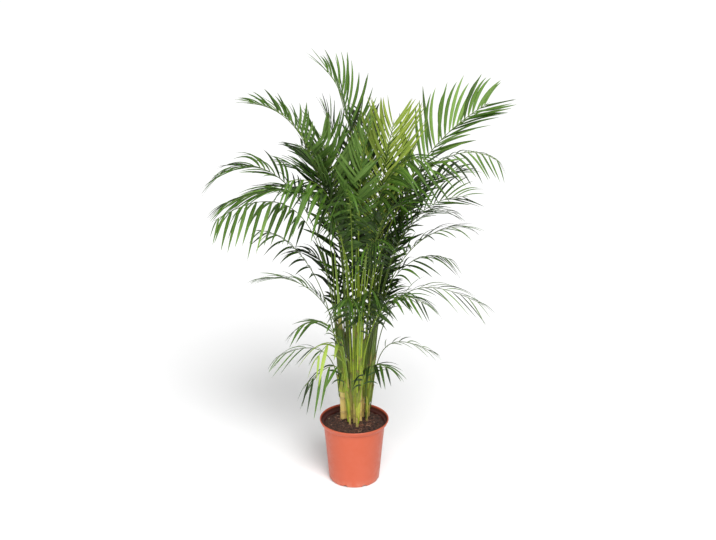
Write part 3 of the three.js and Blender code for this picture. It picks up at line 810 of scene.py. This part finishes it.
def makeSheath(cane, row, foot):
    its = sheathSettings
    leaves, azimuth, aside = row[:3]
    rings = max(its["fewestRings"], int((leaves - foot) / its["ringStep"]))
    tube = turnedTube("sheath", its["sides"], [(mm, j / rings) for j in range(rings + 1)], openEnds=True)
    points = places(tube)
    shares = points[:, 2].copy()
    for p, share in zip(points, shares):
        around = math.degrees(math.atan2(p[1], p[0]))
        facing = math.cos(math.radians(around - azimuth - aside))
        tongue = its["tongue"] * max(facing, 0) ** 5
        notch = its["notch"] * max(-facing, 0) ** 3
        z = mix(foot, leaves + its["mouth"] + tongue - notch, share)
        p[:] = (caneAxis(cane, z) + heading(around) * sheathReach(cane, row, z, facing, share)) * mm
    moveTo(tube, points)
    paint(tube, "along", shares)
    applyModifier(tube, "SOLIDIFY", thickness=its["thickness"] * mm, offset=-1)
    dress(tube, "sheath")
    return tube


def makeSheaths(k, cane):
    # one for each frond, from under the mouth of the next one down
    fronds = cane[5]
    feet = [row[0] - sheathSettings["overlap"] for row in fronds[1:]]
    feet.append(max(fronds[-1][0] - sheathSettings["below"], soilTop - sheathSettings["inSoil"]))
    sheaths = []
    for order, (row, foot) in enumerate(zip(fronds, feet)):
        sheath = makeSheath(cane, row, foot)
        paint(sheath, "tone", (7 * k + 5 * order) % 9 / 8)  # no two neighbours alike
        sheaths.append(sheath)
    finishPiece(smoothed(joinAll(sheaths, f"leafSheaths_{k}"), 60), slotOf(cane), f"cane_{k}")


spearSettings = {
    "folds": 7, "foldDepth": 0.13, "twist": 9,
    # share of its length, and girth against the cane's at its top
    "outline": [(-0.08, 0.9), (0, 0.95), (0.12, 0.84), (0.25, 0.7), (0.4, 0.6), (0.55, 0.53), (0.7, 0.45),
                (0.82, 0.33), (0.91, 0.2), (0.97, 0.09), (1, 0.02)],
}


def makeSpear(k, cane):
    # the unopened leaf: leaflets still pleated together, with a fine point
    its = spearSettings
    top, spear = cane[2], cane[4]
    girth = sheathRadius(cane)
    profile = [(girth * w * mm, (top + s * spear) * mm) for s, w in its["outline"]]
    tube = turnedTube(f"spearLeaf_{k}", its["folds"] * 4, profile)
    points = places(tube)
    for p in points:
        around = math.atan2(p[1], p[0])
        pleat = math.cos(around * its["folds"] + p[2] * its["twist"])
        p[:2] *= 1 + its["foldDepth"] * pleat
    moveTo(tube, points)
    followAxis(tube, cane)
    dress(tube, "spear")
    finishPiece(smoothed(tube, 60), "leaf", f"cane_{k}")


for k, cane in enumerate(canes, 1):
    makeStem(k, cane)
    makeSheaths(k, cane)
    makeSpear(k, cane)
print("canes made")

frondSettings = {
    "ribShare": 0.92, "bareTip": 8, "seed": 11, "fewestPairs": 4,
    "ribRings": 40, "ribSides": 10, "footRings": 3, "footStep": 16,  # the foot is inside the sheath
    "foot": 3.9, "footGrowth": 0.0016, "tip": 1.8,  # how thick the stalk and the rib's tip are
    "leaf": 58, "leafGrowth": 0.17, "longestLeaf": 185, "droop": 0.12, "hangDroop": 0.45,
    "stagger": 0.22, "jitter": 0.07,
    # the lowest leaflets keep this share of their tone: painted shade
    "toneScatter": 0.25, "lowLeafletShade": 0.25, "ageScatter": (0.8, 1.1),
    "paleStalks": (2, 3, 4, 9),  # canes whose stalks and ribs get no painted shade; those of the other canes, at the sides and back, are painted darker
    "young": (11, 1),
}
# how the fronds of each cane look: step between pairs and width of the leaflets in millimetres,
# tone from dark to light, partly the leaves' own colour and partly painted shade and light, darkest for
# fronds deep in and behind the crown and lightest for the upper ones, and age from 0 for grown to 1 for
# young and yellow-green
frondLooks = [
    [(13, 10.5, 0.62, 0), (16, 9.5, 0.35, 0), (23, 16, 0.6, 0), (27, 10, 0.1, 0), (24, 8, 0.4, 0)],
    [(26, 14, 0.35, 0), (60, 14, 0.8, 0.6), (26, 13, 0.3, 0)],
    [(16, 10.5, 0.08, 0), (16, 10.5, 0.12, 0), (20, 10.5, 0.15, 0), (22, 14, 0.25, 0)],
    [(15, 8.5, 0.85, 0), (19, 13, 0.32, 0), (24, 14, 0.14, 0), (24, 15, 0.4, 0), (16, 21, 0.35, 0)],
    [(14.5, 11, 0.62, 0), (16, 9, 0.2, 0), (24, 10, 0.1, 0), (16, 10.5, 0.03, 0)],
    [(20, 7.5, 0.3, 0), (25, 6.5, 0.2, 0), (24, 7.5, 0.4, 0)],
    [(20, 7.5, 0.2, 0), (18, 7.5, 0.12, 0), (20, 10.5, 0.05, 0), (16, 20, 0.25, 0)],
    [(12, 11, 0.85, 0), (12, 11, 0.75, 0), (16, 10.5, 0.1, 0)],
    [(18, 10, 0.6, 0), (20, 11, 0.4, 0), (14, 10.5, 0.36, 0)],
    [(14, 6, 0.4, 0), (16, 10.5, 0.02, 0), (18, 8, 0.3, 0), (18, 10.5, 0, 0)],
    [(11.5, 8, 0.8, 0.85), (16, 10.5, 0.08, 0), (16, 10.5, 0.02, 0), (18, 10.5, 0, 0)],
]

leafletSettings = {
    # stations along a leaflet: share of its length, and half width against the widest
    "stations": [(0, 0.3), (0.05, 0.52), (0.16, 0.82), (0.3, 0.98), (0.44, 1.0), (0.59, 0.9), (0.74, 0.68),
                 (0.87, 0.4), (0.95, 0.17), (1, 0)],
    "fold": 0.36, "thickness": 0.075,
    "lengths": (0.62, 1.7, 1.85), "lengthen": 1.04, "scatter": 0.08,
    "tipSpread": 0.45, "spreadScatter": 3.5,
    "rise": (38, 20), "sag": 35, "riseScatter": 7,
    "droopScatter": 0.3, "droopPower": 2.1, "curl": 0.05, "curlScatter": (0.3, 1.6), "twist": 14,
    "widthGrowth": 0.0057, "leastWidth": 0.19, "widthScatter": (0.85, 1.1),
}
leafSkins = ("leaf", "leafUnder", "stalk")  # a frond's materials, in their order on it


def readyBlank(blank):
    for name in ("tone", "age", "along"):
        paint(blank, name, 0)
    return smoothed(blank, 80)


def makeLeafletBlank():
    # a straight blade of unit length and unit half width, folded along its middle
    stations = leafletSettings["stations"]
    count = len(stations) - 1
    near, aloft = 0.002, 10  # finished stations are lifted out of the way of later picks
    clearSelection()
    bpy.ops.mesh.primitive_grid_add(x_subdivisions=count, y_subdivisions=2, size=1, location=(0.5, 0, 0))
    blank = bpy.context.object
    bpy.ops.object.transform_apply(location=True)
    for j, (x, width) in enumerate(stations):
        start = j / count
        pick(blank, lambda p: abs(p.x - start) < near)
        bpy.ops.transform.resize(value=(1, 2 * width, 1), center_override=(start, 0, 0))
        pick(blank, lambda p: abs(p.x - start) < near and abs(p.y) < near)
        bpy.ops.transform.translate(value=(0, 0, leafletSettings["fold"] * width))
        pick(blank, lambda p: abs(p.x - start) < near)
        bpy.ops.transform.translate(value=(x - start, 0, aloft))
    bpy.ops.mesh.select_all(action="SELECT")
    bpy.ops.transform.translate(value=(0, 0, -aloft))
    bpy.ops.mesh.remove_doubles(threshold=0.0005)
    dress(blank, *leafSkins)
    applyModifier(blank, "SOLIDIFY", thickness=leafletSettings["thickness"], offset=-1, material_offset=1,
                  material_offset_rim=1)
    return readyBlank(blank)


def makeRibBlank():
    rings = frondSettings["ribRings"]
    blank = turnedTube("ribBlank", frondSettings["ribSides"], [(1, j / rings) for j in range(rings + 1)])
    dress(blank, *leafSkins)
    faces = blank.data.polygons
    faces.foreach_set("material_index", [leafSkins.index("stalk")] * len(faces))
    return readyBlank(blank)


leafletBlank, ribBlank = makeLeafletBlank(), makeRibBlank()
leafletPoints, ribPoints = places(leafletBlank), places(ribBlank)


class FrondLine:
    # the line of a frond, from its foot beside the cane up and out to its tip
    def __init__(self, cane, row):
        leaves, azimuth, aside, reach, bendShare, arch, tip = row[:7]
        start = caneAxis(cane, leaves)
        out = heading(azimuth)
        base = start + heading(azimuth + aside) * (caneRadius(cane, leaves) + caneSettings["stalkGap"])
        shoulderOut, shoulderUp = caneSettings["shoulder"]
        shoulder = base + out * shoulderOut * reach
        shoulder.z = mix(leaves, arch, shoulderUp)
        bend = start + out * bendShare * reach
        bend.z = arch
        end = start + out * reach
        end.z = tip
        self.corners = (base, shoulder, bend, end)
        self.shares = np.linspace(0, 1, 301)
        line = np.array([self.at(t) for t in self.shares])
        steps = np.linalg.norm(np.diff(line, axis=0), axis=1)
        self.run = np.concatenate([[0], np.cumsum(steps)])
        self.length = self.run[-1]

    def at(self, t):
        a, b, c, d = self.corners
        s = 1 - t
        return a * s ** 3 + b * 3 * s * s * t + c * 3 * s * t * t + d * t ** 3

    def evenly(self, u):
        # place and direction at a share of the line's length
        t = float(np.interp(u * self.length, self.run, self.shares))
        a, b, c, d = self.corners
        s = 1 - t
        slope = (b - a) * s * s + (c - b) * 2 * s * t + (d - c) * t * t
        return self.at(t), slope.normalized()


def ribSection(frond, share):
    # the rib at a share of its length: middle, direction, side, up and width
    centre, forward = frond["line"].evenly(share * frondSettings["ribShare"])
    roll = math.radians(frond["roll"]) * smoothStep(share, 0.1, 0.9)
    side = heading(frond["azimuth"] + 90)
    side.rotate(Quaternion(forward, roll))
    side.normalize()
    up = forward.cross(side).normalized()
    return centre, forward, side, up, mix(frond["thick"], frondSettings["tip"], share ** 0.8)


def makeRib(frond, cane, row):
    rings, footRings = frondSettings["ribRings"], frondSettings["footRings"]
    points = ribPoints.copy()
    along = np.zeros(len(points))
    for ring in range(rings + 1):
        share = max(ring - footRings, 0) / (rings - footRings)
        centre, _, side, up, width = ribSection(frond, share)
        if ring < footRings:
            sunk = footRings - ring
            height = row[0] - sunk * frondSettings["footStep"]
            gap = mix(caneSettings["stalkGap"], 1.0, sunk / footRings)
            centre = caneAxis(cane, height) + heading(row[1] + row[2]) * (caneRadius(cane, height) + gap)
        if ring == rings:
            width *= 0.5
        chosen = np.abs(ribPoints[:, 2] - ring / rings) < 0.4 / rings
        along[chosen] = share
        for j in np.nonzero(chosen)[0]:
            x, y = ribPoints[j, 0], ribPoints[j, 1]
            lift = y * 0.5 if y < 0 else y * 0.22 + 0.06 * abs(x)  # round below, flat to hollow on top
            points[j] = (centre + side * (x * 0.5 * width) + up * (lift * width)) * mm
    rib = copyOf(ribBlank, points)
    paint(rib, "along", along)
    paint(rib, "tone", frond["stalkShade"])
    return rib


def leafletPlaces(frond, u, hand, rng):
    # the blank's points, laid along one leaflet's line
    its = leafletSettings
    base, linear, square = its["lengths"]
    length = frond["leaf"] * (base + linear * u - square * u * u)
    length *= its["lengthen"] * (1 + its["scatter"] * rng.uniform(-1, 1))
    share = mix(frond["bare"], 1 - 2 * frondSettings["bareTip"] / frond["length"], u)
    centre, forward, side, up, width = ribSection(frond, min(share, 1))
    spread = mix(frond["spread"], its["tipSpread"] * frond["spread"], u)
    sweep = math.radians(spread + rng.normal(0, its["spreadScatter"]))
    rise = mix(*its["rise"], u) - its["sag"] * frond["hang"]
    lift = math.radians(rise + rng.normal(0, its["riseScatter"]))
    direction = forward * math.cos(sweep) + side * (hand * math.sin(sweep) * math.cos(lift)) \
        + up * (math.sin(sweep) * math.sin(lift))
    direction.normalize()
    ahead = (forward - direction * forward.dot(direction)).normalized()
    start = centre + side * (hand * 0.3 * width) + up * 0.1 * width
    droop = frond["droop"] * (1 + its["droopScatter"] * rng.uniform(-1, 1))
    curl = its["curl"] * rng.uniform(*its["curlScatter"])
    widest = frond["widest"] * min(1, its["widthGrowth"] * length + its["leastWidth"])
    half = widest / 2 * rng.uniform(*its["widthScatter"])
    twist = math.radians(rng.normal(0, its["twist"]))
    s, power = leafletPoints[:, 0], its["droopPower"]
    line = np.outer(s * length, direction) - np.outer(4 * s * (1 - s) * curl * length, ahead)
    line[:, 2] -= droop * length * s ** power
    slope = np.outer(np.full(len(s), length), direction) - np.outer(4 * (1 - 2 * s) * curl * length, ahead)
    slope[:, 2] -= droop * length * power * s ** (power - 1)
    slope /= np.linalg.norm(slope, axis=1)[:, None]
    across = np.tile(np.array(ahead), (len(s), 1))
    across -= slope * np.sum(across * slope, axis=1)[:, None]
    across /= np.linalg.norm(across, axis=1)[:, None]
    face = np.cross(across, slope) * hand
    turn = (twist * s)[:, None]
    spun = across * np.cos(turn) + face * np.sin(turn)
    face = face * np.cos(turn) - across * np.sin(turn)
    points = np.array(start) + line - spun * (leafletPoints[:, 1] * half * hand)[:, None]
    points += face * (leafletPoints[:, 2] * half)[:, None]
    return points * mm


def makeFrond(key, cane, row, look):
    its = frondSettings
    rng = np.random.RandomState(its["seed"] + 100 * key[0] + key[1])
    line = FrondLine(cane, row)
    length = line.length * its["ribShare"]
    leaf = min(its["leaf"] + its["leafGrowth"] * length, its["longestLeaf"])
    azimuth, arch = row[1], row[5]
    roll, hang, spread, leafShare, bare = row[7:]
    step, widest, tone, age = look
    frond = {
        "line": line, "length": length, "azimuth": azimuth, "roll": roll, "hang": hang, "spread": spread,
        "bare": bare, "widest": widest, "leaf": leafShare * leaf,
        "thick": its["foot"] + its["footGrowth"] * arch,
        "droop": its["droop"] + its["hangDroop"] * hang,
        "stalkShade": 0 if key[0] in its["paleStalks"] else 1,
    }
    parts = [makeRib(frond, cane, row)]
    pairs = max(its["fewestPairs"], round(length * (1 - bare) / step))
    for j in range(pairs):
        for hand in (1, -1):
            stagger = its["stagger"] * hand * (j < pairs - 1)
            u = (j + stagger + rng.normal(0, its["jitter"])) / (pairs - 1)
            u = min(max(u, 0), 1)
            leaflet = copyOf(leafletBlank, leafletPlaces(frond, u, hand, rng))
            shaded = mix(its["lowLeafletShade"], 1, smoothStep(u, 0, 0.5))  # painted shade: the lowest leaflets, deep in the crown, are darkest
            toned = min(max(tone + rng.normal(0, its["toneScatter"]), 0), 1)
            paint(leaflet, "tone", toned * shaded)
            paint(leaflet, "age", age * rng.uniform(*its["ageScatter"]))
            parts.append(leaflet)
    slotName = "young_leaf" if key == its["young"] else "leaf"
    finishPiece(joinAll(parts, f"palmFrond_{key[0]}_{key[1]}"), slotName, f"frond_{key[0]}_{key[1]}")


for k, (cane, looks) in enumerate(zip(canes, frondLooks), 1):
    for j, (row, look) in enumerate(zip(cane[5], looks), 1):
        makeFrond((k, j), cane, row, look)
    print("fronds of cane", k)
for blank in (leafletBlank, ribBlank):
    bpy.data.objects.remove(blank)
print("fronds made")

studioSettings = {"floorSize": 60, "floor": (0.94, 0.94, 0.94), "floorMottle": (0.9, 0.9, 0.9),
                  "mottleShare": 0.02, "backdrop": (1, 1, 1, 1), "backdropStrength": 1.0, "world": 0.40,
                  "key": 3.1, "keySoftness": 35, "keyFrom": (0.35, -1, 1.25),
                  "fill": 42, "fillSize": 1.6, "fillAt": (-1.2, -2.8, 0.9), "fillTowards": (0, 0, 0.6)}


def makeFloor():
    its = studioSettings
    clearSelection()
    bpy.ops.mesh.primitive_plane_add(size=its["floorSize"], location=(0, 0, 0))
    floor = bpy.context.object
    floor.name = "studioFloor"
    material, tree, coords = newMaterial("floorPaper", Roughness=0.9)
    mottle = times(tree, blotched(tree, coords, 3, 0.4), its["mottleShare"])
    colour = layered(tree, its, "floor", ("floorMottle", mottle))
    plug(tree, tree.nodes["Principled BSDF"].inputs["Base Color"], colour)
    floor.data.materials.append(material)


def makeWorld():
    world = bpy.data.worlds.new("studioWorld")
    bpy.context.scene.world = world
    world.use_nodes = True
    tree = world.node_tree
    background = tree.nodes["Background"].inputs
    background["Color"].default_value = studioSettings["backdrop"]
    seen = addNode(tree, "LightPath").outputs["Is Camera Ray"]  # white to the camera, dimmer as a light
    strength = ramp(tree, seen, 0, 1, studioSettings["world"], studioSettings["backdropStrength"])
    plug(tree, background["Strength"], strength)


def makeLight(name, kind, at, towards, energy):
    clearSelection()
    bpy.ops.object.light_add(type=kind, location=at)
    light = bpy.context.object
    light.name = name
    light.data.energy = energy
    light.rotation_euler = (Vector(towards) - Vector(at)).to_track_quat("-Z", "Y").to_euler()
    return light.data


def studio():
    its = studioSettings
    makeFloor()
    makeWorld()
    key = makeLight("keyLight", "SUN", its["keyFrom"], (0, 0, 0), its["key"])
    key.angle = math.radians(its["keySoftness"])
    fill = makeLight("fillLight", "AREA", its["fillAt"], its["fillTowards"], its["fill"])
    fill.size = its["fillSize"]
    bpy.context.scene.view_settings.view_transform = "Standard"


studio()
print("studio set")
